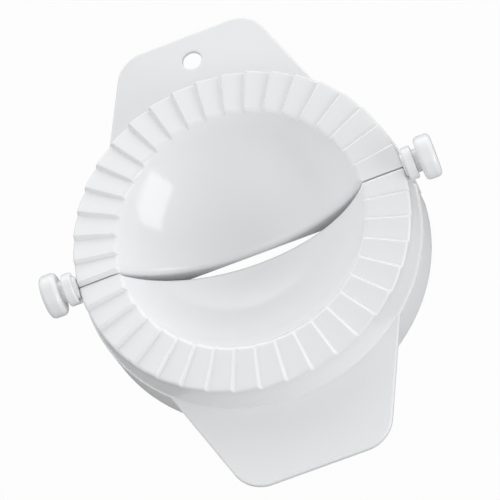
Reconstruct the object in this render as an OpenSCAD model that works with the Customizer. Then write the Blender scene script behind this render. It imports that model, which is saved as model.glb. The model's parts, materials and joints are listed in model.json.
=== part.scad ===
// Empanada press: two half bowls with a toothed crimping ring, folded together on
// two headed hinge pins. It is drawn opened flat on the table, in millimetres.
// X runs along the hinge line, Y from the front grip tab to the rear one, Z up.
// The origin is on the table under the middle of the hinge line.

/* [Body] */
// Outer diameter of the toothed ring
ring_d = 100; // [90:1:120]
// Height of the hinge line above the table
hinge_h = 25; // [24:0.5:32]
// Thickness of the bowl's wall
bowl_wall = 2; // [1.5:0.1:2.5]
// Thickness of the skirt
skirt_wall = 1.8; // [1.4:0.1:2.4]
// Thickness of the wall that closes each half along the hinge
end_wall = 2; // [1.5:0.1:3]
// Thickness under the lowest point of the teeth
ring_floor = 2; // [1.5:0.1:2.4]

/* [Bowl] */
// Depth of the bowl below the plane where the halves meet
bowl_depth = 22.5; // [18:0.5:22.5]
// Radius that rolls the teeth's inner ends over into the bowl
lip_round = 1; // [0.6:0.1:1.5]
// Radius on the bowl's edge along the hinge
edge_round = 1.8; // [1:0.1:2]

/* [Crimping teeth] */
// Teeth on each half
teeth = 20; // [14:1:26]
// Width of the toothed band
tooth_band = 12; // [8:0.5:12]
// Height of one tooth's step at the outer rim
tooth_step = 1.3; // [0.8:0.1:1.6]
// Run of the step's sloping face at the outer rim
step_run = 0.8; // [0.5:0.1:1.2]
// Play beside each step when the press is shut
step_play = 0.2; // [0.1:0.05:0.4]
// Gap between the two rings when the press is shut
bite_gap = 0.3; // [0.2:0.05:0.6]

/* [Skirt] */
// Height of the skirt's ledge, level with the grip tabs, above the table
ledge_h = 13.6; // [10:0.1:16]
// How far the wall leans out between the ring and the ledge
wall_flare = 1; // [0:0.1:2]
// Width of the ledge
ledge_w = 0.4; // [0.3:0.1:1]
// How far the skirt leans out between the ledge and the table
skirt_flare = 0.2; // [0:0.1:1.5]

/* [Grip tabs] */
// How far each tab stands out past the toothed ring
tab_reach = 22.8; // [18:0.1:32]
// Width of a tab where it passes the rim of the ring
tab_root_w = 60.2; // [50:0.1:64]
// Width of a tab across its tip
tab_tip_w = 42.2; // [34:0.1:48]
// Radius of the tab's corners
tab_corner = 10; // [4:0.5:12]
// Thickness of the tabs
tab_thick = 2; // [1.8:0.1:3]
// Diameter of the hanging hole in the rear tab
hole_d = 6; // [4:0.5:7]
// Distance from the rear tab's tip to the middle of its hole
hole_inset = 8.5; // [7:0.5:11]

/* [Hinge] */
// Gap between the two halves at the hinge line
parting_gap = 0.3; // [0.2:0.1:0.8]
// Lean of the walls that face each other under the hinge line, in degrees
end_lean = 3.5; // [2:0.5:5]
// Diameter of the pins
pin_d = 6.8; // [6:0.2:7.6]
// Play between a pin and its eyelet, on the radius
pin_play = 0.05; // [0.02:0.01:0.1]
// Outer diameter of the eyelets
eyelet_d = 9.8; // [9.4:0.2:12]
// Thickness of the eyelets
eyelet_t = 2.8; // [2:0.2:4]
// Gap between the toothed ring and an eyelet
eyelet_gap = 0.8; // [0.6:0.1:1.2]
// Bare neck between an eyelet and the pin's head
neck_gap = 1.4; // [0.8:0.1:2.5]
// Diameter of the pins' heads
head_d = 13; // [10:0.2:14]
// Thickness of the pins' heads
head_t = 5; // [3.5:0.1:7]
// Radius on the edges of the pins' heads
head_round = 1.4; // [0.6:0.1:1.7]
// Length of the quarter round key on each pin's inner end
key_len = 8.8; // [6:0.1:9]
// Depth of the key's flat top below the hinge line
key_drop = 1.5; // [1.4:0.1:1.8]
// Distance from the hinge line to the key's flat side
key_side = 1; // [0.8:0.1:1.4]
// Play between a key and its socket
key_play = 0.05; // [0.02:0.01:0.1]
// Material round a key in the rear half's hinge block
block_wall = 1.6; // [1.2:0.1:2.4]

/* [Hidden] */
$fn = 128;
ease = 0.1;
ring_r = ring_d / 2;
band_r = ring_r - tooth_band;
ring_under = -(bite_gap + tooth_step) / 2 - ring_floor;
ring_join = ring_under + ring_floor / 2;
ledge_z = ledge_h - hinge_h;
ledge_r = ring_r + wall_flare;
foot_r = ledge_r + ledge_w + skirt_flare;
bite_z = -bite_gap / 2;
crest_z = bite_z + tooth_step / 2 * band_r / ring_r;
lip_c_z = crest_z - ease - lip_round;
lip_deep = bowl_depth + lip_c_z;
lip_sunk = lip_round - ease / 5;
bowl_r = (band_r * band_r + lip_deep * lip_deep - lip_sunk * lip_sunk)
    / (2 * (lip_deep + lip_sunk));
bowl_z = bowl_r - bowl_depth;
tab_tip = ring_r + tab_reach;
tab_lean = atan((tab_root_w - tab_tip_w) / 2 / tab_reach);
pin_r = pin_d / 2;
bore_r = pin_r + pin_play;
eyelet_x = ring_r + eyelet_gap;
head_x = eyelet_x + eyelet_t + neck_gap;
block_r = pin_r + key_play + block_wall;
far = 4 * ring_r;

// Moves its children from the hinge line's own frame up to the hinge line.
module at_hinge() translate([0, 0, hinge_h]) children();

// Draws its children at the right end of the hinge and mirrored at the left end.
module both_ends() for (side = [0, 1]) mirror([side, 0, 0]) children();

// A slab that keeps what lies behind the leaning face of a half along the hinge.
module behind_face(depth) rotate([end_lean, 0, 0])
    translate([-far / 2, parting_gap / 2, -far / 2]) cube([far, depth, far]);

// The quarter of a round bar that lies behind the hinge line and below it.
module quarter_bar(r, x0, x1, side, drop) intersection() {
    translate([x0, 0, 0]) rotate([0, 90, 0]) cylinder(r = r, h = x1 - x0);
    translate([x0 - ease, side, -drop - r]) cube([x1 - x0 + 2 * ease, r, r]);
}

// A point of the tooth surface on radius r, where height is the share of half a step.
function tooth_point(r, angle, height) =
    [r * cos(angle), r * sin(angle), bite_z + height * tooth_step / 2 * r / ring_r];

// The toothed surface's edges in one radius: a ramp up, then a sloping step down.
function tooth_row(r, slope, play, pitch) = [
    for (k = [0:teeth], top = [0, 1])
        tooth_point(r, k * pitch - play + (top ? pitch - slope : slope), top ? 1 : -1)
];

// The solid under the teeth. Its faces all pass through one point of the hinge
// line, so the halves' teeth fill each other's gaps when one turns over.
module tooth_fan() {
    pitch = 180 / teeth;
    slope = asin(step_run / 2 / ring_r);
    play = asin(step_play / 2 / ring_r);
    inner = concat([tooth_point(band_r / 2, -pitch / 2, -1)],
        tooth_row(band_r / 2, slope, play, pitch));
    outer = concat([tooth_point(1.1 * ring_r, -pitch / 2, -1)],
        tooth_row(1.1 * ring_r, slope, play, pitch));
    n = len(inner);
    under = [for (p = concat(inner, outer)) [p[0], p[1], ring_under]];
    polyhedron(
        points = concat(inner, outer, under),
        faces = concat(
            [for (i = [0:n - 2]) [i, i + 1, n + i + 1, n + i]],
            [for (i = [0:n - 2]) [2 * n + i, 3 * n + i, 3 * n + i + 1, 2 * n + i + 1]],
            [for (i = [0:n - 2]) [i + 1, i, 2 * n + i, 2 * n + i + 1]],
            [for (i = [0:n - 2]) [n + i, n + i + 1, 3 * n + i + 1, 3 * n + i]],
            [[0, n, 3 * n, 2 * n], [2 * n - 1, n - 1, 3 * n - 1, 4 * n - 1]]
        ),
        convexity = 2 * teeth
    );
}

// The toothed band, from the bowl to the rim, cut from the fan.
module toothed_band() intersection() {
    tooth_fan();
    rotate_extrude() band_section();
}

// Half section of the toothed band before its teeth are cut. Its inner edge rolls
// over into the bowl just below the teeth's crests. The roll is sunk a little into
// the bowl, so that it meets it at a small angle.
module band_section() difference() {
    roof_z = bite_z + tooth_step;
    roll_x = band_r * (bowl_z - roof_z) / (bowl_z - lip_c_z);
    translate([band_r - 2 * bowl_wall, ring_under])
        square([tooth_band + 2 * bowl_wall, roof_z - ease - ring_under]);
    translate([0, bowl_z]) circle(r = bowl_r);
    difference() {
        polygon([[band_r, lip_c_z], [band_r, roof_z], [roll_x, roof_z]]);
        translate([band_r, lip_c_z]) circle(r = lip_round);
    }
}

// Half section of everything inside the skirt's outer face, below the teeth.
module outer_section() polygon([
    [0, -hinge_h], [foot_r, -hinge_h], [ledge_r + ledge_w, ledge_z],
    [ledge_r, ledge_z], [ring_r, ring_under], [ring_r, ring_join], [0, ring_join]
]);

// Half section of the skirt and of the plain wall between it and the ring.
module skirt_section() difference() {
    outer_section();
    polygon([
        [-ease, -hinge_h - ease], [foot_r - skirt_wall, -hinge_h - ease],
        [ledge_r + ledge_w - skirt_wall, ledge_z], [ring_r - skirt_wall, ring_under],
        [ring_r - skirt_wall, ring_join + ease], [-ease, ring_join + ease]
    ]);
}

// Half section of the bowl's shell, which reaches up into the toothed band.
module bowl_section() difference() {
    intersection() {
        translate([0, bowl_z]) circle(r = bowl_r + bowl_wall);
        translate([0, ring_join - far]) square([far, far]);
    }
    translate([0, bowl_z]) circle(r = bowl_r);
}

// Rounds the bowl's edge on the leaning face, turned about the face's own normal.
// It is sunk a little into both surfaces, so that it meets them at a small angle.
module edge_cut() {
    ball_y = bowl_z * sin(end_lean);
    reach = edge_round - ease / 2;
    mid_y = parting_gap / 2 + reach - ball_y;
    mid_r = sqrt(pow(bowl_r + reach, 2) - mid_y * mid_y);
    start = parting_gap / 2 - ball_y - ease;
    rotate([end_lean, 0, 0]) translate([0, ball_y, bowl_z * cos(end_lean)]) rotate([-90, 0, 0])
        rotate_extrude() difference() {
            polygon([[mid_r, mid_y], [mid_r, start], [0, start], [0, 0]]);
            translate([mid_r, mid_y]) circle(r = edge_round);
        }
}

// Outline of a grip tab with round corners, from inside the skirt to its tip.
module tab_outline() {
    inset = tab_corner * (1 - sin(tab_lean)) / cos(tab_lean);
    corner = [tab_tip_w / 2 - inset, tab_tip - tab_corner];
    side = corner + tab_corner * [cos(tab_lean), sin(tab_lean)];
    root_y = ring_r / 2;
    root_w = tab_root_w / 2 + (ring_r - root_y) * tan(tab_lean);
    polygon([
        [-root_w, root_y], [root_w, root_y], side, [corner[0], tab_tip],
        [-corner[0], tab_tip], [-side[0], side[1]]
    ]);
    for (x = [-1, 1]) translate([x * corner[0], corner[1]]) circle(r = tab_corner);
}

// The grip tab, level with the ledge.
module tab() translate([0, 0, ledge_z - tab_thick]) difference() {
    linear_extrude(tab_thick) tab_outline();
    translate([0, 0, -ease]) cylinder(r = ledge_r - skirt_wall / 2, h = tab_thick + 2 * ease);
}

// Everything that both halves share, drawn behind the hinge line in its own frame.
module half_moulding() {
    difference() {
        intersection() {
            union() {
                toothed_band();
                rotate_extrude() skirt_section();
                rotate_extrude() bowl_section();
                intersection() {
                    rotate_extrude() outer_section();
                    behind_face(end_wall);
                }
            }
            behind_face(far);
        }
        translate([0, 0, bowl_z]) sphere(r = bowl_r);
        edge_cut();
    }
    tab();
}

// The rear half: hanging hole in its tab, and a socket for each pin's key.
module rear_half() color("whitesmoke") at_hinge() difference() {
    union() {
        half_moulding();
        both_ends() intersection() {
            quarter_bar(block_r, band_r, ring_r, 0, 0);
            behind_face(far);
            translate([0, 0, -far - key_drop / 2]) cylinder(r = ring_r, h = far);
        }
    }
    both_ends() quarter_bar(pin_r + key_play, ring_r - key_len - key_play, head_x,
        key_side - key_play, key_drop - key_play);
    translate([0, tab_tip - hole_inset, ledge_z - tab_thick - ease])
        cylinder(d = hole_d, h = tab_thick + 2 * ease);
}

// The front half: an eyelet round each pin, bridged to the end of the ring.
module front_half() color("whitesmoke") at_hinge() rotate([0, 0, 180]) difference() {
    union() {
        half_moulding();
        both_ends() {
            intersection() {
                quarter_bar(eyelet_d / 2, band_r, eyelet_x + ease, 0, 0);
                behind_face(far);
                translate([0, 0, -far + ring_under / 2]) cylinder(r = far, h = far);
            }
            translate([eyelet_x, 0, 0]) rotate([0, 90, 0])
                cylinder(d = eyelet_d, h = eyelet_t);
        }
    }
    both_ends() translate([ring_r + ease / 2, 0, 0]) rotate([0, 90, 0])
        cylinder(r = bore_r, h = head_x - ring_r);
}

// One hinge pin at the right end: head, shank, and the key in the rear half.
module pin() color("white") at_hinge() {
    translate([ring_r + ease, 0, 0]) rotate([0, 90, 0])
        cylinder(r = pin_r, h = head_x + head_t / 2 - ring_r - ease);
    quarter_bar(pin_r, ring_r - key_len, head_x, key_side, key_drop);
    translate([head_x, 0, 0]) rotate([0, 90, 0]) rotate_extrude() {
        square([head_d / 2 - head_round, head_t]);
        translate([0, head_round]) square([head_d / 2, head_t - 2 * head_round]);
        for (z = [head_round, head_t - head_round])
            translate([head_d / 2 - head_round, z]) circle(r = head_round);
    }
}

module right_pin() pin();

module left_pin() mirror([1, 0, 0]) pin();

rear_half();
front_half();
left_pin();
right_pin();
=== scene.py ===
"""Empanada press: two hinged half bowls with a crimping ring, in glossy white plastic.

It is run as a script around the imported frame. Each half is one moulding with its
real edge radii, and the two hinge pins carry rounded button heads.
"""
import json
import math

import bmesh
import bpy
import numpy as np
from mathutils import Matrix, Vector


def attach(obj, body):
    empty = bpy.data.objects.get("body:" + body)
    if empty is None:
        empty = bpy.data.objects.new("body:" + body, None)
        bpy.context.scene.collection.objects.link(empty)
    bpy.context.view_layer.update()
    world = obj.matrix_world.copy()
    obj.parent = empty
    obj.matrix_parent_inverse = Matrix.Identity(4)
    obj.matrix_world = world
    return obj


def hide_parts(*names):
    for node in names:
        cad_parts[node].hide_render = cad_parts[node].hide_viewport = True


bl_info = {
    "name": "Empanada Press",
    "version": (1, 0, 0),
    "blender": (4, 5, 0),
    "location": "View3D > Sidebar > Press",
    "description": "Builds a hinged plastic press for filled dough pockets",
    "category": "Add Mesh",
}

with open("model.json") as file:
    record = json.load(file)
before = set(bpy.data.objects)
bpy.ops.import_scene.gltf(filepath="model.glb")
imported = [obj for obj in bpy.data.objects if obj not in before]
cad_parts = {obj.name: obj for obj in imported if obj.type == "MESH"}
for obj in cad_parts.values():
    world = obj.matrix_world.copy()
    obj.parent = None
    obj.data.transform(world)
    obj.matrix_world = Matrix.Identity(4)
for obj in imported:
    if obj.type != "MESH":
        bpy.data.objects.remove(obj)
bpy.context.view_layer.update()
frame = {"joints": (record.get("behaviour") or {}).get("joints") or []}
HINGE_HEIGHT = frame["joints"][0]["pos_m"][2]
MM = 0.001

# How finely the curves are drawn.
END_STEPS = 6  # steps of the rounding along the parting line
ROUND_STEPS = 5  # steps of the rounding of an edge
FINE_STEPS = 4  # steps of each rounding in the profile of the wall and the skirt
HEAD_ROUND_STEPS = 8  # steps of the rounding of a pin head's edge
LIP_STEPS = 8  # steps of the roll from the bowl into the teeth
FADE_ROWS = LIP_STEPS + 3  # rows from the bowl over which the ends' rounding shrinks
BAND_STEPS = 8  # steps along a tooth, from the roll to the rim's rounding
ROOT_STEPS = 8  # steps of a tooth root's rounding, an even number
CREST_STEPS = 6  # steps of a tooth crest's rounding
RAMP_COLUMNS = 6  # columns on a tooth's ramp, besides those of its roundings
STEP_COLUMNS = 1  # the same on its step
BOWL_STEPS = 26  # steps across the bowl's inside
SHELL_STEPS = 12  # steps across the bowl's outside
CORNER_STEPS = 16  # steps of a tab's corner
TAB_ROOT_STEPS = 32  # steps of the tab's edge inside the wall
QUARTER_STEPS = 23  # steps of a quarter bar's arc
TURN_STEPS = 72  # steps round a turned piece
HEAD_STEPS = 96  # steps round a pin's head

LIP_EASE = 0.1 * MM  # how far the roll that sets the bowl's radius lies below a crest
CUT_PAST = 1 * MM  # how far the hole's cutter stands out of the tab
SOCKET_PAST = 4 * MM  # how far a socket's cutter stands out of the ring
BORE_LENGTH = 6 * MM  # length of the cutter of an eyelet's bore
TINY = 1e-9  # lengths and angles below it count as nothing
MERGE_DISTANCE = 1e-7  # points no further apart than this become one
SETTLING = 40  # rounds of a search for a length, which settles well before the last
SHARP_ANGLE = math.radians(35)  # edges that bend more than this look sharp

# The camera, fitted to the edges of the photographed teeth: angles in radians,
# distances from the hinge's middle in ring radii, focal length in the photo's pixels.
CAMERA_TURN, CAMERA_RISE, CAMERA_ROLL = 0.23566, 1.10400, -0.56713
CAMERA_FAR, CAMERA_ASIDE, CAMERA_ALOFT = 14.13787, 0.06274, -0.13367
FOCAL_PIXELS = 2465.21
PHOTO_PIXELS = 500
SENSOR_WIDTH = 36.0  # millimetres
CLIP_END = 20.0  # metres

# Soft glows of the light tent: turn and rise in degrees, and strength.
TENT_GLOWS = (
    (90, 10, 2.1),  # low behind the press
    (45, 10, 1.1),  # low behind on the right
    (135, 10, 0.9),  # low behind on the left
    (315, 10, 0.8),  # low in front on the right
    (225, 45, 1.5),  # over the front left
    (315, 45, 0.5),  # over the front right
    (180, 45, 0.4),  # over the left
    (70, 45, 0.6),  # over the back
    (0, 30, 0.2),  # on the right
)
GLOW_SHARPNESS = 6.0  # the power to which the cosine from a glow's middle is raised

# The window's lamp: turn and rise in degrees, distance and size in metres, watts.
WINDOW_TURN, WINDOW_RISE, WINDOW_FAR = -28, 14, 0.7
WINDOW_SIZE = (0.46, 0.36)
WINDOW_POWER = 1.65

FLOOR_HALF = 3.0  # half of the floor's side, in metres
FLOOR_WHITE = 0.97  # share of pure white in the floor that the camera sees
MIRRORED_WHITE = 0.1  # share of that in its mirror image
WHITE = (1, 1, 1, 1)
MIX_FACTOR, MIX_FIRST, MIX_SECOND = 0, 6, 7  # a mix node's inputs for colours
MIX_RESULT = 2  # and its output


def length(name, text, millimetres):
    """A length property, kept in metres, with its default given in millimetres."""
    return bpy.props.FloatProperty(
        name=name, description=text, default=millimetres * MM, min=0.0,
        precision=5, subtype="DISTANCE", unit="LENGTH")


class PressSizes(bpy.types.PropertyGroup):
    """Sizes of the press, as in the construction model, and the small radii it leaves out."""
    ring_r: length("Ring radius", "Outer radius of the toothed ring", 50)
    bowl_wall: length("Bowl wall", "Thickness of the bowl's wall", 2)
    skirt_wall: length("Skirt wall", "Thickness of the skirt", 1.8)
    end_wall: length("End wall", "Thickness of the wall along the hinge", 2)
    ring_floor: length("Ring floor", "Thickness under the lowest teeth", 2)
    bowl_depth: length("Bowl depth", "Depth of the bowl below the hinge line", 22.5)
    lip_round: length("Lip radius", "Radius that rolls the teeth into the bowl", 1.5)
    edge_round: length("Bowl edge radius", "Radius of the bowl's edge at the hinge", 2.0)
    teeth: bpy.props.IntProperty(
        name="Teeth", description="Teeth on each half", default=20, min=8, max=40)
    tooth_band: length("Toothed band", "Width of the toothed band", 12)
    tooth_step: length("Tooth step", "Height of a tooth's step at the rim", 1.3)
    step_run: length("Step run", "Run of the step's sloping face at the rim", 0.8)
    step_play: length("Step play", "Play beside each step when shut", 0.2)
    bite_gap: length("Bite gap", "Gap between the rings when shut", 0.3)
    crest_round: length("Crest radius", "Radius on the teeth's crests", 0.45)
    root_round: length("Root radius", "Radius in the teeth's roots", 0.35)
    rim_round: length("Rim radius", "Radius on the ring's outer edge", 0.8)
    ledge_h: length("Ledge height", "Height of the skirt's ledge", 13.6)
    wall_flare: length("Wall flare", "Lean of the wall below the ring", 1)
    ledge_w: length("Ledge width", "Width of the ledge", 0.4)
    skirt_flare: length("Skirt flare", "Lean of the skirt", 0.2)
    small_round: length("Small radius", "Radius on the ledge and along the parting line", 0.3)
    foot_round: length("Foot radius", "Radius on the skirt's lower edges", 0.4)
    tab_reach: length("Tab reach", "How far a tab stands out past the ring", 22.8)
    tab_root_w: length("Tab root width", "Width of a tab at the ring's rim", 60.2)
    tab_tip_w: length("Tab tip width", "Width of a tab across its tip", 42.2)
    tab_corner: length("Tab corner", "Radius of the tab's corners", 10)
    tab_thick: length("Tab thickness", "Thickness of the tabs", 2)
    tab_round: length("Tab edge radius", "Radius on the tab's edges", 0.6)
    hole_r: length("Hole radius", "Radius of the hanging hole", 3)
    hole_inset: length("Hole inset", "From the tab's tip to the hole's middle", 8.5)
    parting_gap: length("Parting gap", "Gap between the halves at the hinge", 0.3)
    end_lean: bpy.props.FloatProperty(
        name="End lean", description="Lean of the walls below the hinge line",
        default=math.radians(3.5), subtype="ANGLE", unit="ROTATION")
    pin_r: length("Pin radius", "Radius of the pins' shanks", 3.4)
    pin_play: length("Pin play", "Play between a pin and its eyelet", 0.05)
    eyelet_r: length("Eyelet radius", "Outer radius of the eyelets", 4.9)
    eyelet_t: length("Eyelet thickness", "Thickness of the eyelets", 2.8)
    eyelet_gap: length("Eyelet gap", "Gap between the ring and an eyelet", 0.8)
    eyelet_round: length("Eyelet edge radius", "Radius on the eyelets' edges", 0.5)
    neck_gap: length("Neck", "Bare neck between an eyelet and the head", 1.4)
    head_r: length("Head radius", "Radius of the pins' heads", 6.5)
    head_t: length("Head thickness", "Thickness of the pins' heads", 5)
    head_round: length("Head edge radius", "Radius on the heads' edges", 1.4)
    key_len: length("Key length", "Length of the key on the pin's inner end", 8.8)
    key_drop: length("Key drop", "Depth of the key's top below the hinge line", 1.5)
    key_side: length("Key side", "From the hinge line to the key's flat side", 1)
    block_wall: length("Block wall", "Material round a key", 1.6)


class PressLooks(bpy.types.PropertyGroup):
    """Colours of the plastic and of the studio."""
    plastic: bpy.props.StringProperty(
        name="Plastic", description="sRGB colour of the moulded plastic", default="#F0F1F2")
    plastic_shade: bpy.props.StringProperty(
        name="Plastic, uneven", description="sRGB colour of its slightly thicker places",
        default="#ECEDEF")
    floor: bpy.props.StringProperty(
        name="Floor", description="sRGB colour of the floor", default="#A8A8A8")


# ----------------------------------------------------------------- shapes in numbers

def arc_round(before, corner, after, radius, steps):
    """Points of the arc that rounds a corner of a flat line, ends included."""
    before, corner, after = (np.array(p, float) for p in (before, corner, after))
    u = (before - corner) / np.linalg.norm(before - corner)
    v = (after - corner) / np.linalg.norm(after - corner)
    half = math.acos(np.clip(u @ v, -1, 1)) / 2
    reach = radius / math.tan(half)
    middle = corner + (u + v) / np.linalg.norm(u + v) * radius / math.sin(half)
    a, b = corner + u * reach - middle, corner + v * reach - middle
    turn = math.pi - 2 * half
    return [middle + (a * math.sin(turn * (1 - t)) + b * math.sin(turn * t)) / math.sin(turn)
            for t in np.linspace(0, 1, steps + 1)]


def subdivided(a, b, count):
    """Points between a and b, both left out."""
    return [a + (b - a) * t for t in np.linspace(0, 1, count + 2)[1:-1]]


def rounded_line(points, radii, steps, filling=None):
    """A flat line with rounded inner corners, and with points added on its straights."""
    filling = filling or [0] * (len(points) - 1)
    line = [np.array(points[0], float)]
    for i, radius in enumerate(radii):
        arc = arc_round(points[i], points[i + 1], points[i + 2], radius, steps)
        line += subdivided(line[-1], arc[0], filling[i]) + arc
    last = np.array(points[-1], float)
    return line + subdivided(line[-1], last, filling[-1]) + [last]


def quarter(radius, steps):
    """How far the points of a rounded edge lie inside the one face and the other."""
    return [(radius * (1 - math.sin(t)), radius * (1 - math.cos(t)))
            for t in np.linspace(0, math.pi / 2, steps + 1)]


def spread(begin, end, angles):
    """Turns from begin to end, spaced as the angles are."""
    return begin + (end - begin) * (angles - angles[0]) / (angles[-1] - angles[0])


class HalfShape:
    """Works out one half's moulding, behind the hinge line and in its own frame."""

    def __init__(self, s):
        self.s = s
        self.band_r = s.ring_r - s.tooth_band
        self.ring_under = -(s.bite_gap + s.tooth_step) / 2 - s.ring_floor
        self.ledge_z = s.ledge_h - HINGE_HEIGHT
        self.ledge_r = s.ring_r + s.wall_flare
        self.foot_r = self.ledge_r + s.ledge_w + s.skirt_flare
        self.bite_z = -s.bite_gap / 2
        self.half_step = s.tooth_step / 2
        crest_z = self.bite_z + self.half_step * self.band_r / s.ring_r
        roll_z = crest_z - LIP_EASE - s.lip_round
        deep = s.bowl_depth + roll_z
        self.bowl_r = ((self.band_r ** 2 + deep ** 2 - s.lip_round ** 2)
                       / (2 * (deep + s.lip_round)))
        self.outer_r = self.bowl_r + s.bowl_wall
        self.bowl_z = self.bowl_r - s.bowl_depth
        self.middle = np.array([0, 0, self.bowl_z])
        self.normal = np.array([0, math.cos(s.end_lean), math.sin(s.end_lean)])
        self.up = np.array([0, -math.sin(s.end_lean), math.cos(s.end_lean)])

    # The teeth: heights are shares of half a step, from -1 in a root to 1 on a crest.

    def tooth_line(self):
        """Angles and heights along one tooth, from one root to the next."""
        s = self.s
        pitch = math.pi * s.ring_r / s.teeth
        start = (s.step_run - s.step_play) / 2
        root = np.array([start, -self.half_step])
        crest = np.array([start + pitch - s.step_run, self.half_step])
        last_crest = crest - [pitch, 0]
        next_root = root + [pitch, 0]
        next_crest = crest + [pitch, 0]
        half = ROOT_STEPS // 2
        first = arc_round(last_crest, root, crest, s.root_round, ROOT_STEPS)[half:]
        top = arc_round(root, crest, next_root, s.crest_round, CREST_STEPS)
        last = arc_round(crest, next_root, next_crest, s.root_round, ROOT_STEPS)
        line = first + subdivided(first[-1], top[0], RAMP_COLUMNS) + top
        line += subdivided(top[-1], last[0], STEP_COLUMNS) + last[:half + 1]
        line = np.array(line)
        return line[:, 0] / s.ring_r, line[:, 1] / self.half_step

    def tooth_rows(self, height):
        """Radii and levels from the bowl, rolled over and along the tooth, to the rim."""
        s = self.s
        rise = height * self.half_step / s.ring_r
        r = self.band_r
        for _ in range(SETTLING):
            z = self.bite_z + rise * r - s.lip_round * math.hypot(1, rise)
            r = math.sqrt((self.bowl_r + s.lip_round) ** 2 - (self.bowl_z - z) ** 2)
        begin, end = math.atan2(self.bowl_z - z, -r), math.atan2(1, -rise)
        rows = [(r + s.lip_round * math.cos(a), z + s.lip_round * math.sin(a))
                for a in np.linspace(begin, end, LIP_STEPS + 1)]
        for r in np.linspace(rows[-1][0], s.ring_r - s.rim_round, BAND_STEPS + 1)[1:]:
            rows.append((r, self.bite_z + rise * r))
        top = self.bite_z + rise * s.ring_r
        for inset, sunk in quarter(s.rim_round, ROUND_STEPS)[1:]:
            rows.append((s.ring_r - inset, top - sunk))
        return rows

    # Rows that are the same all the way round.

    def wall_rows(self):
        """The wall, ledge, skirt and the foot's outer edge, down to the table."""
        s = self.s
        table = -HINGE_HEIGHT
        corners = [
            (s.ring_r, self.ring_under), (self.ledge_r, self.ledge_z),
            (self.ledge_r + s.ledge_w, self.ledge_z), (self.foot_r, table),
            (self.foot_r - s.skirt_wall / 2, table)]
        radii = [s.small_round / 4, s.small_round, s.foot_round]
        rows_between = [3, 0, 4, 0]
        return rounded_line(corners, radii, FINE_STEPS, rows_between)[:-1]

    def inner_rows(self):
        """The foot's inner edge, the skirt's inner face and the ring's underside."""
        s = self.s
        table = -HINGE_HEIGHT
        join_r = math.sqrt(self.outer_r ** 2 - (self.bowl_z - self.ring_under) ** 2)
        corners = [
            (self.foot_r - s.skirt_wall / 2, table), (self.foot_r - s.skirt_wall, table),
            (self.ledge_r + s.ledge_w - s.skirt_wall, self.ledge_z),
            (s.ring_r - s.skirt_wall, self.ring_under), (join_r, self.ring_under)]
        radii = [s.foot_round, 2 * s.foot_round, 2 * s.foot_round]
        rows_between = [0, 3, 2, 4]
        return rounded_line(corners, radii, FINE_STEPS, rows_between)[1:]

    # Positions behind the leaning plane that parts the halves.

    def depth_y(self, z, distance):
        """Y of a point at height z and at a distance behind the parting plane."""
        s = self.s
        return (s.parting_gap / 2 + distance - z * math.sin(s.end_lean)) / math.cos(s.end_lean)

    def on_plane(self, points, distance):
        """The points, moved square to the parting plane to that distance behind it."""
        off = points @ self.normal - self.s.parting_gap / 2
        return points + (distance - off)[..., None] * self.normal

    def swept(self, r, z, angles, pitch, ends):
        """Points of one row; the first and last tooth are squeezed to the plane."""
        begin = np.arcsin(np.clip(self.depth_y(z[[0, -1]], ends) / r[[0, -1]], -1, 1))
        a = angles.copy()
        first, last = a < pitch, a > math.pi - pitch
        a[first] = begin[0] + (a[first] - a[0]) * (pitch - begin[0]) / (pitch - a[0])
        back, back_0 = math.pi - a[last], math.pi - angles[-1]
        a[last] = math.pi - begin[1] - (back - back_0) * (pitch - begin[1]) / (pitch - back_0)
        return np.stack([r * np.cos(a), r * np.sin(a), z], axis=-1)

    def turn_at(self, point):
        """A point's turn round the bowl's middle, along the parting plane."""
        away = np.array(point) - self.middle
        return math.atan2(away @ self.up, away[0])

    def sphere_arc(self, radius, behind, turns):
        """Points where a sphere round the bowl's middle meets a parallel plane."""
        centre = self.on_plane(self.middle, behind)
        gap = np.linalg.norm(centre - self.middle)
        across = math.sqrt(radius ** 2 - gap ** 2)
        return centre + across * (np.cos(turns)[:, None] * [1, 0, 0]
                                  + np.sin(turns)[:, None] * self.up)

    def sphere_patch(self, start, end, radius, steps):
        """Rows between two lines on a sphere round the bowl's middle, ends left out."""
        a, b = start - self.middle, end - self.middle
        a = a / np.linalg.norm(a, axis=1)[:, None]
        b = b / np.linalg.norm(b, axis=1)[:, None]
        turn = np.arccos(np.clip((a * b).sum(1), -1, 1))
        safe = np.where(turn < TINY, 1, turn)
        rows = []
        for t in np.linspace(0, 1, steps + 1)[1:-1]:
            u = np.where(turn < TINY, 1 - t, np.sin((1 - t) * safe) / np.sin(safe))
            v = np.where(turn < TINY, t, np.sin(t * safe) / np.sin(safe))
            rows.append(self.middle + radius * (u[:, None] * a + v[:, None] * b))
        return rows


class Shell:
    """Collects numbered points and faces; repeated corners of a face are dropped."""

    def __init__(self):
        self.points, self.faces = [], []

    def add(self, points):
        """Adds points and returns their numbers."""
        first = len(self.points)
        self.points += [tuple(map(float, p)) for p in points]
        return list(range(first, len(self.points)))

    def face(self, corners):
        """Adds one face, unless too few of its corners differ."""
        kept = [c for i, c in enumerate(corners) if c != corners[i - 1]]
        if len(set(kept)) == len(kept) > 2:
            self.faces.append(kept)

    def strip(self, a, b):
        """Joins two rows of equal length with quads."""
        for i in range(len(a) - 1):
            self.face([a[i], a[i + 1], b[i + 1], b[i]])

    def sheet(self, rows):
        """Joins each row to the next one."""
        for a, b in zip(rows, rows[1:]):
            self.strip(a, b)

    def tube(self, loops):
        """Joins each closed loop to the next one."""
        self.sheet([loop + loop[:1] for loop in loops])

    def places(self, numbers):
        """The points with these numbers, as an array."""
        return np.array([self.points[i] for i in numbers])

    def mesh(self, name):
        """The finished mesh, with its faces turned outwards."""
        mesh = bpy.data.meshes.new(name)
        mesh.from_pydata(self.points, [], self.faces)
        turn_outwards(mesh)
        return mesh


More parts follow.
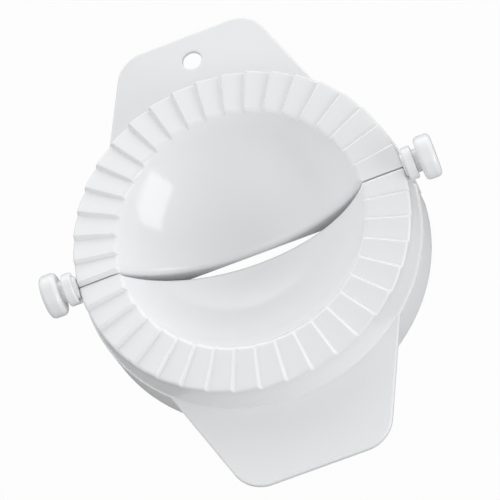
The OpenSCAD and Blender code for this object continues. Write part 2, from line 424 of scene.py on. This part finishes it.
def turn_outwards(mesh):
    """Merges doubled points and turns the faces of a closed mesh outwards."""
    bm = bmesh.new()
    bm.from_mesh(mesh)
    bmesh.ops.remove_doubles(bm, verts=bm.verts, dist=MERGE_DISTANCE)
    bmesh.ops.recalc_face_normals(bm, faces=bm.faces)
    open_edges = sum(len(e.link_faces) != 2 for e in bm.edges)
    if bm.calc_volume(signed=True) < 0:
        bmesh.ops.reverse_faces(bm, faces=bm.faces)
    bm.to_mesh(mesh)
    bm.free()
    if open_edges:
        raise RuntimeError(f"{mesh.name} has {open_edges} open edges")


# ------------------------------------------------------------- Blender's own helpers

def link(name, mesh):
    """A new object for a mesh, in the scene."""
    obj = bpy.data.objects.new(name, mesh)
    bpy.context.scene.collection.objects.link(obj)
    return obj


def drop(obj):
    """Removes an object and its mesh."""
    mesh = obj.data
    bpy.data.objects.remove(obj)
    if mesh is not None and mesh.users == 0:
        bpy.data.meshes.remove(mesh)


def evaluated_mesh(obj):
    """The object's mesh with its modifiers applied, as plain data."""
    bpy.context.view_layer.update()
    graph = bpy.context.evaluated_depsgraph_get()
    return bpy.data.meshes.new_from_object(
        obj.evaluated_get(graph), preserve_all_data_layers=True, depsgraph=graph)


def combined(name, base, added=(), cut=()):
    """One solid: the base with solids added to it and others cut from it."""
    obj = link(name, base)
    tools = []
    for operation, meshes in (("UNION", added), ("DIFFERENCE", cut)):
        for mesh in meshes:
            tool = link(mesh.name, mesh)
            tools.append(tool)
            modifier = obj.modifiers.new(operation, "BOOLEAN")
            modifier.operation = operation
            modifier.solver = "MANIFOLD"
            modifier.object = tool
    mesh = evaluated_mesh(obj)
    for o in tools + [obj]:
        drop(o)
    mesh.name = name
    return mesh


def finished(name, mesh, material, body, node):
    """A smooth-shaded piece that stands for a node and rides on its body."""
    mesh.materials.clear()
    mesh.materials.append(material)
    mesh.polygons.foreach_set("use_smooth", [True] * len(mesh.polygons))
    mesh.polygons.foreach_set("material_index", [0] * len(mesh.polygons))
    mesh.set_sharp_from_angle(angle=SHARP_ANGLE)
    obj = link(name, mesh)
    shading = obj.modifiers.new("Even shading", "WEIGHTED_NORMAL")
    shading.keep_sharp = True
    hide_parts(node)
    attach(obj, body)
    return obj


def add_node(tree, kind, settings=(), values=(), links=()):
    """Adds a node; its values and the sockets linked to it go by an input's name or number."""
    node = tree.nodes.new(kind)
    for name, value in dict(settings).items():
        setattr(node, name, value)
    for key, value in dict(values).items():
        node.inputs[key].default_value = value
    for key, socket in dict(links).items():
        tree.links.new(socket, node.inputs[key])
    return node


def maths(tree, operation, *given):
    """The result of an operation on sockets and numbers."""
    values = {i: value for i, value in enumerate(given) if isinstance(value, (int, float))}
    links = {i: socket for i, socket in enumerate(given) if i not in values}
    settings = {"operation": operation}
    return add_node(tree, "ShaderNodeMath", settings, values, links).outputs[0]


# ---------------------------------------------------------------- the repeated teeth

def teeth_tree():
    """Node tree that repeats one tooth round the hinge's middle."""
    tree = bpy.data.node_groups.new("Crimping teeth", "GeometryNodeTree")
    for name, kind in (("Tooth", "Geometry"), ("Teeth", "Int"), ("Pitch", "Float"),
                       ("Plastic", "Material")):
        tree.interface.new_socket(name, in_out="INPUT", socket_type=f"NodeSocket{kind}")
    tree.interface.new_socket("Ring", in_out="OUTPUT", socket_type="NodeSocketGeometry")
    given = add_node(tree, "NodeGroupInput").outputs
    number = add_node(tree, "GeometryNodeInputIndex").outputs["Index"]
    places = add_node(tree, "GeometryNodeMeshLine", values={"Offset": (0, 0, 0)},
                      links={"Count": given["Teeth"]})
    spin = add_node(tree, "ShaderNodeCombineXYZ",
                    links={"Z": maths(tree, "MULTIPLY", number, given["Pitch"])})
    repeat = add_node(tree, "GeometryNodeInstanceOnPoints", links={
        "Points": places.outputs["Mesh"], "Instance": given["Tooth"],
        "Rotation": spin.outputs[0]})
    mark = add_node(tree, "GeometryNodeStoreNamedAttribute",
                    {"data_type": "INT", "domain": "INSTANCE"}, {"Name": "tooth"},
                    {"Geometry": repeat.outputs["Instances"], "Value": number})
    real = add_node(tree, "GeometryNodeRealizeInstances",
                    links={"Geometry": mark.outputs["Geometry"]})
    paint = add_node(tree, "GeometryNodeSetMaterial", links={
        "Geometry": real.outputs["Geometry"], "Material": given["Plastic"]})
    add_node(tree, "NodeGroupOutput", links={"Ring": paint.outputs["Geometry"]})
    return tree


def repeated_teeth(shape, material):
    """Angles, radii and levels of the whole half ring's teeth, column by column."""
    s = shape.s
    angles, heights = shape.tooth_line()
    rows = np.array([shape.tooth_rows(h) for h in heights])
    columns, count = rows.shape[:2]
    points, column, row = [], [], []
    for c, a in enumerate(angles):
        for k, (r, z) in enumerate(rows[c]):
            points.append((r * math.cos(a), r * math.sin(a), z))
            column.append(c)
            row.append(k)
    faces = [(c * count + k, c * count + k + 1, (c + 1) * count + k + 1, (c + 1) * count + k)
             for c in range(columns - 1) for k in range(count - 1)]
    mesh = bpy.data.meshes.new("tooth")
    mesh.from_pydata(points, [], faces)
    for name, values in (("column", column), ("row", row)):
        mesh.attributes.new(name, "INT", "POINT").data.foreach_set("value", values)
    obj = link("tooth", mesh)
    modifier = obj.modifiers.new("Crimping teeth", "NODES")
    modifier.node_group = teeth_tree()
    wanted = {"Teeth": s.teeth, "Pitch": math.pi / s.teeth, "Plastic": material}
    for item in modifier.node_group.interface.items_tree:
        if item.name in wanted and item.in_out == "INPUT":
            modifier[item.identifier] = wanted[item.name]
    # The marks sort the repeated tooth's points back into rows and columns.
    ring = evaluated_mesh(obj)
    total = len(ring.vertices)
    co = np.empty(total * 3)
    ring.vertices.foreach_get("co", co)
    co = co.reshape(-1, 3)
    marks = {}
    for name in ("column", "row", "tooth"):
        values = np.empty(total, int)
        ring.attributes[name].data.foreach_get("value", values)
        marks[name] = values
    across = s.teeth * (columns - 1) + 1
    place = marks["tooth"] * (columns - 1) + marks["column"]
    radius, level, turn = (np.empty((count, across)) for _ in range(3))
    radius[marks["row"], place] = np.hypot(co[:, 0], co[:, 1])
    level[marks["row"], place] = co[:, 2]
    turn[marks["row"], place] = np.arctan2(co[:, 1], co[:, 0]) % (2 * math.pi)
    drop(obj)
    bpy.data.meshes.remove(ring)
    return turn[-1], radius, level


# ----------------------------------------------------------------- the half moulding

def end_rounding(shape, profile, k, radius):
    """Points that round the right end of a profile's row off, from the parting plane."""
    r, z = profile[k]
    ahead = profile[min(k + 1, len(profile) - 1)] - profile[k - 1]
    if k == 0:  # this row lies on the bowl, so its line goes on along the sphere
        ahead = np.array([shape.bowl_z - z, r])
    ahead = ahead / np.linalg.norm(ahead)
    out_r, out_z = -ahead[1], ahead[0]
    points = []
    for sunk, behind in quarter(radius, END_STEPS)[:-1]:
        y = shape.depth_y(z, behind)
        x = math.sqrt(r * r - y * y)
        point = np.array([x - out_r * sunk * x / r, y - out_r * sunk * y / r,
                          z - out_z * sunk])
        points.append(shape.on_plane(point, behind))
    return np.array(points)


def outer_rows(shape, shell, columns, pitch):
    """Rows from the bowl over the teeth and down to the table, with rounded ends."""
    s = shape.s
    angles, tooth_r, tooth_z = columns
    wall = shape.wall_rows()
    ones = np.ones(len(angles))
    radii = list(tooth_r) + [ones * r for r, z in wall]
    levels = list(tooth_z) + [ones * z for r, z in wall]
    # The ends' rounding shrinks smoothly from the bowl's edge to the small radius.
    fade = np.clip(np.arange(len(radii)) / FADE_ROWS, 0, 1)
    rounds = s.edge_round + (s.small_round - s.edge_round) * fade * fade * (3 - 2 * fade)
    root_height = shape.tooth_line()[1][0]
    profile = np.array(shape.tooth_rows(root_height) + wall)
    grid = []
    for k, (r, z, radius) in enumerate(zip(radii, levels, rounds)):
        line = shape.swept(r, z, angles, pitch, radius)
        right = end_rounding(shape, profile, k, radius)
        left = right[::-1] * [-1, 1, 1]
        grid.append(shell.add(right) + shell.add(line) + shell.add(left))
    shell.sheet(grid)
    return grid


def even_columns(angles, pitch):
    """The columns' angles for the inner rows, evenly spaced over the outermost teeth."""
    width = len(angles) + 2 * END_STEPS
    first = END_STEPS + int((angles < pitch).sum())
    last = END_STEPS + int((angles <= math.pi - pitch).sum())
    even = np.empty(width)
    even[:first] = np.linspace(0, pitch, first + 1)[:-1]
    even[first:last] = angles[first - END_STEPS:last - END_STEPS]
    even[last:] = math.pi - np.linspace(0, pitch, width - last + 1)[:-1][::-1]
    return even


def sphere_sheet(shape, shell, start, end, radius, steps):
    """Joins two rows with shared ends over a sphere round the bowl's middle."""
    rows = [start]
    for row in shape.sphere_patch(shell.places(start), shell.places(end), radius, steps):
        rows.append([start[0]] + shell.add(row[1:-1]) + [start[-1]])
    shell.sheet(rows + [end])


def half_shell(shape, material):
    """The moulding of one half without its tab and hinge parts, as a closed mesh."""
    s = shape.s
    pitch = math.pi / s.teeth
    columns = repeated_teeth(shape, material)
    angles = columns[0]
    shell = Shell()
    grid = outer_rows(shape, shell, columns, pitch)
    rim = grid[0]
    width = len(rim)

    # The bowl's rounded edge along the parting plane, and the bowl itself.
    e = END_STEPS
    begin, end = (shape.turn_at(shell.points[i]) for i in (rim[e], rim[-1 - e]))
    turns = spread(begin, end, angles)[1:-1]
    edge = []
    for (sunk, behind), right, left in zip(quarter(s.edge_round, e), rim, rim[::-1]):
        arc = shape.sphere_arc(shape.bowl_r + sunk, behind, turns)
        edge.append([right] + shell.add(arc) + [left])
    shell.sheet(edge)
    sphere_sheet(shape, shell, rim[e:width - e], edge[-1], shape.bowl_r, BOWL_STEPS)

    # The inner rows of the skirt and the ring end on the end wall's inner face.
    even = even_columns(angles, pitch)
    under = [shell.add(shape.swept(np.full(width, r), np.full(width, z), even, pitch,
                                   s.end_wall)) for r, z in shape.inner_rows()]
    shell.sheet(under)

    # The bowl's outer face under the ring, closed by the end wall's inner face.
    join = under[-1]
    begin = shape.turn_at(shell.points[join[0]])
    turns = spread(begin, -math.pi - begin, even)[1:-1]
    arc = shape.sphere_arc(shape.outer_r, s.end_wall, turns)
    line = [join[0]] + shell.add(arc) + [join[-1]]
    sphere_sheet(shape, shell, join, line, shape.outer_r, SHELL_STEPS)
    shell.face([row[0] for row in under[:-1]] + line + [row[-1] for row in under[-2::-1]])

    # The foot: a flat half ring, and the end wall's straight lower edge.
    foot, inner = grid[-1], under[0]
    shell.strip(foot[e:width - e], inner[e:width - e])
    shell.face([foot[e]] + inner[e::-1])
    shell.face([foot[-1 - e]] + inner[width - 1 - e:])
    shell.strip(foot[:e + 1], foot[:-e - 2:-1])
    shell.face([foot[e], foot[-1 - e], inner[-1], inner[0]])

    # The leaning outer face of the end wall.
    shell.face([row[0] for row in grid[:0:-1]] + edge[0] + [row[-1] for row in grid[1:]])
    return shell.mesh("shell")


def prism(name, outline, low, high, radius, place=Matrix.Identity(4)):
    """A flat outline made solid between two levels, with its edges rounded."""
    outline = np.array(outline)
    after = np.roll(outline, -1, 0)
    ahead = after - outline
    ahead /= np.linalg.norm(ahead, axis=1)[:, None]
    normal = np.stack([ahead[:, 1], -ahead[:, 0]], axis=1)
    normal = normal + np.roll(normal, 1, 0)
    normal = 2 * normal / (normal ** 2).sum(1)[:, None]
    area = (outline[:, 0] * after[:, 1] - outline[:, 1] * after[:, 0]).sum()
    normal *= math.copysign(1, area)
    levels = [(0, low), (0, high)]
    if radius > 0:
        levels = [(inset, low + rise) for inset, rise in quarter(radius, ROUND_STEPS)]
        levels += [(inset, low + high - z) for inset, z in levels[::-1]]
    shell = Shell()
    loops = [shell.add([(x, y, z) for x, y in outline - normal * inset])
             for inset, z in levels]
    shell.tube(loops)
    shell.face(loops[0])
    shell.face(loops[-1])
    shell.points = [tuple(place @ Vector(p)) for p in shell.points]
    return shell.mesh(name)


def turned(name, profile, place=Matrix.Identity(4), steps=TURN_STEPS):
    """A profile of radii and heights, turned round its axis."""
    shell = Shell()
    spin = np.linspace(0, 2 * math.pi, steps, endpoint=False)
    loops = []
    for r, z in profile:
        if r < TINY:
            loops.append(shell.add([place @ Vector((0, 0, z))]) * steps)
        else:
            loops.append(shell.add([place @ Vector((r * math.cos(a), r * math.sin(a), z))
                                    for a in spin]))
    off_axis = profile[0][0] > TINY
    shell.tube(loops + loops[:1] if off_axis else loops)
    return shell.mesh(name)


def along_x(side, start):
    """Places a shape's own Z axis along the hinge line, outwards at one end."""
    return Matrix(((0, 0, side, side * start), (0, 1, 0, 0), (1, 0, 0, 0), (0, 0, 0, 1)))


def quarter_outline(radius, side, drop):
    """The quarter of a round bar behind and below the hinge line, as (z, y) points."""
    first = math.asin(side / radius)
    last = math.acos(drop / radius)
    arc = [(-radius * math.cos(a), radius * math.sin(a))
           for a in np.linspace(first, last, QUARTER_STEPS + 1)]
    return arc + [(-drop, side)]


def tab_outline(shape):
    """The grip tab's outline, from inside the wall to its tip."""
    s = shape.s
    tip = s.ring_r + s.tab_reach
    lean = math.atan((s.tab_root_w - s.tab_tip_w) / 2 / s.tab_reach)
    inset = s.tab_corner * (1 - math.sin(lean)) / math.cos(lean)
    corner = np.array([s.tab_tip_w / 2 - inset, tip - s.tab_corner])
    right = [corner + s.tab_corner * np.array([math.cos(a), math.sin(a)])
             for a in np.linspace(lean, math.pi / 2, CORNER_STEPS + 1)]
    root_r = shape.ledge_r - s.skirt_wall / 2
    slope = math.tan(lean)
    y = s.ring_r
    for _ in range(SETTLING):
        x = s.tab_root_w / 2 + (s.ring_r - y) * slope
        y = math.sqrt(root_r ** 2 - x ** 2)
    half = math.atan2(x, y)
    root = [(root_r * math.sin(a), root_r * math.cos(a))
            for a in np.linspace(-half, half, TAB_ROOT_STEPS + 1)]
    return root + [tuple(p) for p in right] + [(-p[0], p[1]) for p in right[::-1]]


def hole_cutter(shape):
    """A spool that cuts the hanging hole and rounds its edges."""
    s = shape.s
    low, high = shape.ledge_z - s.tab_thick, shape.ledge_z
    lower = [(s.hole_r + inset, low + rise)
             for inset, rise in quarter(s.tab_round, ROUND_STEPS)]
    upper = [(r, low + high - z) for r, z in lower[::-1]]
    wide = s.hole_r + s.tab_round
    profile = [(0, low - CUT_PAST), (wide, low - CUT_PAST)] + lower
    profile += upper + [(wide, high + CUT_PAST), (0, high + CUT_PAST)]
    place = Matrix.Translation((0, s.ring_r + s.tab_reach - s.hole_inset, 0))
    return turned("hanging hole", profile, place)


def rounded_disc(radius, thickness, edge):
    """Profile of a turned disc with rounded edges."""
    return rounded_line([(0, 0), (radius, 0), (radius, thickness), (0, thickness)],
                        [edge, edge], HEAD_ROUND_STEPS)


def rounded_ring(inner, outer, thickness, edge):
    """Profile of a turned ring with rounded edges, those of its hole half as large."""
    corners = [(inner, 0), (outer, 0), (outer, thickness), (inner, thickness)]
    profile = []
    for i, corner in enumerate(corners):
        radius = edge if corner[0] == outer else edge / 2
        profile += arc_round(corners[i - 1], corner, corners[(i + 1) % 4], radius, ROUND_STEPS)
    return profile


def half_mesh(shape, shell, rear):
    """One half's whole moulding, with its tab and hinge parts, drawn behind the hinge."""
    s = shape.s
    top = shape.ledge_z
    added = [prism("tab", tab_outline(shape), top - s.tab_thick, top, s.tab_round)]
    cut = [hole_cutter(shape)] if rear else []
    bore = s.pin_r + s.pin_play
    for side in (1, -1):
        if rear:
            # A block holds the pin's key. Its top is hidden in the ring's floor, a third
            # of the way down from the hinge line to the ring's underside.
            block = bore + s.block_wall
            outline = quarter_outline(block, shape.depth_y(-block, 0), -shape.ring_under / 3)
            added.append(prism("block", outline, 0, s.tooth_band - s.skirt_wall / 2, 0,
                               along_x(side, shape.band_r)))
            outline = quarter_outline(bore, s.key_side - s.pin_play, s.key_drop - s.pin_play)
            cut.append(prism("socket", outline, 0, s.key_len + SOCKET_PAST, 0,
                             along_x(side, s.ring_r - s.key_len - s.pin_play)))
        else:
            # A bridge carries the eyelet. Its top lies half way down.
            outline = quarter_outline(s.eyelet_r, shape.depth_y(-s.eyelet_r, 0),
                                      -shape.ring_under / 2)
            added.append(prism("bridge", outline, 0,
                               s.tooth_band + s.eyelet_gap + s.eyelet_t / 2,
                               s.small_round, along_x(side, shape.band_r)))
            added.append(turned(
                "eyelet", rounded_ring(bore, s.eyelet_r, s.eyelet_t, s.eyelet_round),
                along_x(side, s.ring_r + s.eyelet_gap)))
            cut.append(turned(
                "bore", [(0, 0), (bore, 0), (bore, BORE_LENGTH), (0, BORE_LENGTH)],
                along_x(side, s.ring_r + s.pin_play)))
    mesh = combined("half", shell.copy(), added, cut)
    if not rear:
        mesh.transform(Matrix.Rotation(math.pi, 4, "Z"))
    mesh.transform(Matrix.Translation((0, 0, HINGE_HEIGHT)))
    return mesh


def pin_mesh(s, side):
    """One hinge pin: rounded head, shank, and the key that sits in the rear half."""
    head_x = s.ring_r + s.eyelet_gap + s.eyelet_t + s.neck_gap
    start = s.ring_r + 2 * s.pin_play
    reach = head_x + s.head_t / 2 - start
    shank = turned("shank", [(0, 0), (s.pin_r, 0), (s.pin_r, reach), (0, reach)],
                   along_x(side, start))
    head = turned("head", rounded_disc(s.head_r, s.head_t, s.head_round),
                  along_x(side, head_x), HEAD_STEPS)
    key = prism("key", quarter_outline(s.pin_r, s.key_side, s.key_drop), 0,
                head_x - s.ring_r + s.key_len, 0, along_x(side, s.ring_r - s.key_len))
    mesh = combined("pin", head, [shank, key])
    mesh.transform(Matrix.Translation((0, 0, HINGE_HEIGHT)))
    return mesh


# ------------------------------------------------------------------------- materials

def linear(colour):
    """An sRGB hex colour as linear RGBA."""
    values = [int(colour[i:i + 2], 16) / 255 for i in (1, 3, 5)]
    return [v / 12.92 if v <= 0.04045 else ((v + 0.055) / 1.055) ** 2.4 for v in values] + [1]


def empty_tree(owner):
    """The emptied shader tree of a material or a world."""
    owner.use_nodes = True
    owner.node_tree.nodes.clear()
    return owner.node_tree


def noise(tree, place, scale, detail, roughness):
    """Smooth noise; the scale is about the number of its patches to a metre."""
    values = {"Scale": scale, "Detail": detail, "Roughness": roughness}
    return add_node(tree, "ShaderNodeTexNoise", values=values,
                    links={"Vector": place}).outputs["Fac"]


def mixed(tree, share, first, second):
    """A mix of two shaders, by the share of the second one."""
    links = {0: share, 1: first, 2: second}
    return add_node(tree, "ShaderNodeMixShader", links=links).outputs[0]


def white_plastic(looks):
    """Injection moulded polypropylene: glossy white, with slightly uneven tone and gloss."""
    name = "Moulded white polypropylene"
    material = bpy.data.materials.get(name)
    if material:
        return material
    material = bpy.data.materials.new(name)
    tree = empty_tree(material)
    place = add_node(tree, "ShaderNodeTexCoord").outputs["Object"]
    # Slow changes of tone, about 25 mm long, where the melt cooled at different rates.
    tones = {MIX_FIRST: linear(looks.plastic), MIX_SECOND: linear(looks.plastic_shade)}
    tone = add_node(tree, "ShaderNodeMix", {"data_type": "RGBA"}, tones,
                    {MIX_FACTOR: noise(tree, place, 40.0, 2.0, 0.5)})
    # The polished mould leaves the gloss slightly uneven, in patches of about 8 mm.
    gloss = add_node(tree, "ShaderNodeMapRange",
                     values={"From Min": 0.3, "From Max": 0.7, "To Min": 0.09, "To Max": 0.14},
                     links={"Value": noise(tree, place, 125.0, 3.0, 0.6)})
    # A faint ripple, about 3 mm from crest to crest, as thin mouldings have.
    bump = add_node(tree, "ShaderNodeBump", values={"Strength": 0.12, "Distance": 0.1 * MM},
                    links={"Height": noise(tree, place, 330.0, 1.0, 0.4)})
    surface = add_node(tree, "ShaderNodeBsdfPrincipled", values={"IOR": 1.49}, links={
        "Base Color": tone.outputs[MIX_RESULT], "Roughness": gloss.outputs["Result"],
        "Normal": bump.outputs["Normal"]})
    add_node(tree, "ShaderNodeOutputMaterial", links={"Surface": surface.outputs["BSDF"]})
    return material


def floor_paint(looks):
    """Matt light grey that shows white to the camera and keeps the soft shadow."""
    material = bpy.data.materials.new("Matt white floor")
    tree = empty_tree(material)
    rays = add_node(tree, "ShaderNodeLightPath").outputs
    # A glossy wall seen at a slant would be washed out by a floor that is all white.
    mirrored = maths(tree, "MULTIPLY", rays["Is Glossy Ray"], MIRRORED_WHITE)
    seen = maths(tree, "MAXIMUM", rays["Is Camera Ray"], mirrored)
    share = maths(tree, "MULTIPLY", seen, FLOOR_WHITE)
    matt = add_node(tree, "ShaderNodeBsdfDiffuse", values={"Color": linear(looks.floor)})
    glow = add_node(tree, "ShaderNodeEmission", values={"Color": WHITE, "Strength": 1.0})
    mix = mixed(tree, share, matt.outputs[0], glow.outputs[0])
    add_node(tree, "ShaderNodeOutputMaterial", links={"Surface": mix})
    return material


# ------------------------------------------------------------------------- operators

class PRESS_OT_halves(bpy.types.Operator):
    """Mould the two halves with their bowls, teeth, skirts, tabs and eyelets"""
    bl_idname = "press.halves"
    bl_label = "Mould the halves"

    def execute(self, context):
        scene = context.scene
        plastic = white_plastic(scene.press_looks)
        shape = HalfShape(scene.press_sizes)
        shell = half_shell(shape, plastic)
        for name, rear in (("rear", True), ("front", False)):
            finished(f"{name}_moulding", half_mesh(shape, shell, rear), plastic,
                     name, f"{name}_half")
        bpy.data.meshes.remove(shell)
        return {"FINISHED"}


class PRESS_OT_pins(bpy.types.Operator):
    """Turn the two headed hinge pins"""
    bl_idname = "press.pins"
    bl_label = "Make the hinge pins"

    def execute(self, context):
        scene = context.scene
        plastic = white_plastic(scene.press_looks)
        for name, side in (("left", -1), ("right", 1)):
            finished(f"{name}_headed_pin", pin_mesh(scene.press_sizes, side), plastic,
                     "rear", f"{name}_pin")
        return {"FINISHED"}


# ------------------------------------------------------------------------- the stage

def direction(turn, rise):
    """The unit vector towards a compass turn and a rise, both in degrees."""
    turn, rise = math.radians(turn), math.radians(rise)
    return Vector((math.cos(turn) * math.cos(rise), math.sin(turn) * math.cos(rise),
                   math.sin(rise)))


def tent_light(tree):
    """Adds the tent's glows up; returns the socket with their sum."""
    ray = add_node(tree, "ShaderNodeTexCoord").outputs["Generated"]
    total = 0.0
    for turn, rise, strength in TENT_GLOWS:
        facing = add_node(tree, "ShaderNodeVectorMath", {"operation": "DOT_PRODUCT"},
                          {1: direction(turn, rise)}, {0: ray}).outputs["Value"]
        front = maths(tree, "MAXIMUM", facing, 0.0)
        glow = maths(tree, "POWER", front, GLOW_SHARPNESS)
        total = maths(tree, "MULTIPLY_ADD", glow, strength, total)
    return total


def studio_world():
    """Plain white for the camera, and the light tent's soft glows for everything else."""
    world = bpy.data.worlds.new("Studio")
    tree = empty_tree(world)
    rays = add_node(tree, "ShaderNodeLightPath").outputs
    soft = add_node(tree, "ShaderNodeBackground", values={"Color": WHITE},
                    links={"Strength": tent_light(tree)})
    plain = add_node(tree, "ShaderNodeBackground", values={"Color": WHITE, "Strength": 1.0})
    mix = mixed(tree, rays["Is Camera Ray"], soft.outputs[0], plain.outputs[0])
    add_node(tree, "ShaderNodeOutputWorld", links={"Surface": mix})
    return world


def window_lamp():
    """The soft window; its mirror image is the bright patch at the left of the rear bowl."""
    data = bpy.data.lights.new("Window", "AREA")
    data.shape = "RECTANGLE"
    data.size, data.size_y = WINDOW_SIZE
    data.energy = WINDOW_POWER
    lamp = bpy.data.objects.new("Window", data)
    away = direction(WINDOW_TURN, WINDOW_RISE)
    lamp.location = Vector((0, 0, HINGE_HEIGHT)) + away * WINDOW_FAR
    lamp.rotation_euler = away.to_track_quat("Z", "Y").to_euler()
    return lamp


def photo_camera(unit):
    """The camera in the photograph's place; the unit is the ring's radius."""
    turn, rise, roll = CAMERA_TURN, CAMERA_RISE, CAMERA_ROLL
    back = Vector((math.sin(turn) * math.cos(rise), -math.cos(turn) * math.cos(rise),
                   math.sin(rise)))
    flat = Vector((math.cos(turn), math.sin(turn), 0))
    upright = back.cross(flat)
    right = math.cos(roll) * flat + math.sin(roll) * upright
    above = -math.sin(roll) * flat + math.cos(roll) * upright
    spot = Vector((0, 0, HINGE_HEIGHT)) + back * (CAMERA_FAR * unit)
    spot += right * (CAMERA_ASIDE * unit) + above * (CAMERA_ALOFT * unit)
    camera = bpy.data.objects.new("Camera", bpy.data.cameras.new("Camera"))
    facing = Matrix((right, above, back)).transposed().to_4x4()
    camera.matrix_world = Matrix.Translation(spot) @ facing
    camera.data.sensor_width = SENSOR_WIDTH
    camera.data.lens = SENSOR_WIDTH * FOCAL_PIXELS / PHOTO_PIXELS
    camera.data.clip_end = CLIP_END
    return camera


class PRESS_OT_stage(bpy.types.Operator):
    """Set the floor, the soft lights, the plain background and the camera"""
    bl_idname = "press.stage"
    bl_label = "Set the stage"

    def execute(self, context):
        scene = context.scene
        floor = bpy.data.meshes.new("floor")
        a, b = -FLOOR_HALF, FLOOR_HALF
        floor.from_pydata([(a, a, 0), (b, a, 0), (b, b, 0), (a, b, 0)], [], [(0, 1, 2, 3)])
        floor.materials.append(floor_paint(scene.press_looks))
        link("floor", floor)
        scene.world = studio_world()
        scene.collection.objects.link(window_lamp())
        scene.camera = photo_camera(scene.press_sizes.ring_r)
        scene.collection.objects.link(scene.camera)
        scene.view_settings.view_transform = "Standard"
        return {"FINISHED"}


class PRESS_PT_panel(bpy.types.Panel):
    """The press's steps, in the 3D view's sidebar"""
    bl_label = "Empanada Press"
    bl_idname = "PRESS_PT_panel"
    bl_space_type = "VIEW_3D"
    bl_region_type = "UI"
    bl_category = "Press"

    def draw(self, context):
        for operator in (PRESS_OT_halves, PRESS_OT_pins, PRESS_OT_stage):
            self.layout.operator(operator.bl_idname)
        for group in (context.scene.press_sizes, context.scene.press_looks):
            column = self.layout.column()
            for name in group.__annotations__:
                column.prop(group, name)


CLASSES = (PressSizes, PressLooks, PRESS_OT_halves, PRESS_OT_pins, PRESS_OT_stage,
           PRESS_PT_panel)


def register():
    """Registers the classes and hangs the sizes and colours on the scene."""
    for cls in CLASSES:
        bpy.utils.register_class(cls)
    bpy.types.Scene.press_sizes = bpy.props.PointerProperty(type=PressSizes)
    bpy.types.Scene.press_looks = bpy.props.PointerProperty(type=PressLooks)


def unregister():
    """Takes the sizes, colours and classes away again."""
    del bpy.types.Scene.press_looks
    del bpy.types.Scene.press_sizes
    for cls in reversed(CLASSES):
        bpy.utils.unregister_class(cls)


def main():
    """Builds the press and its stage."""
    register()
    bpy.ops.press.halves()
    bpy.ops.press.pins()
    bpy.ops.press.stage()


if __name__ == "__main__":
    main()
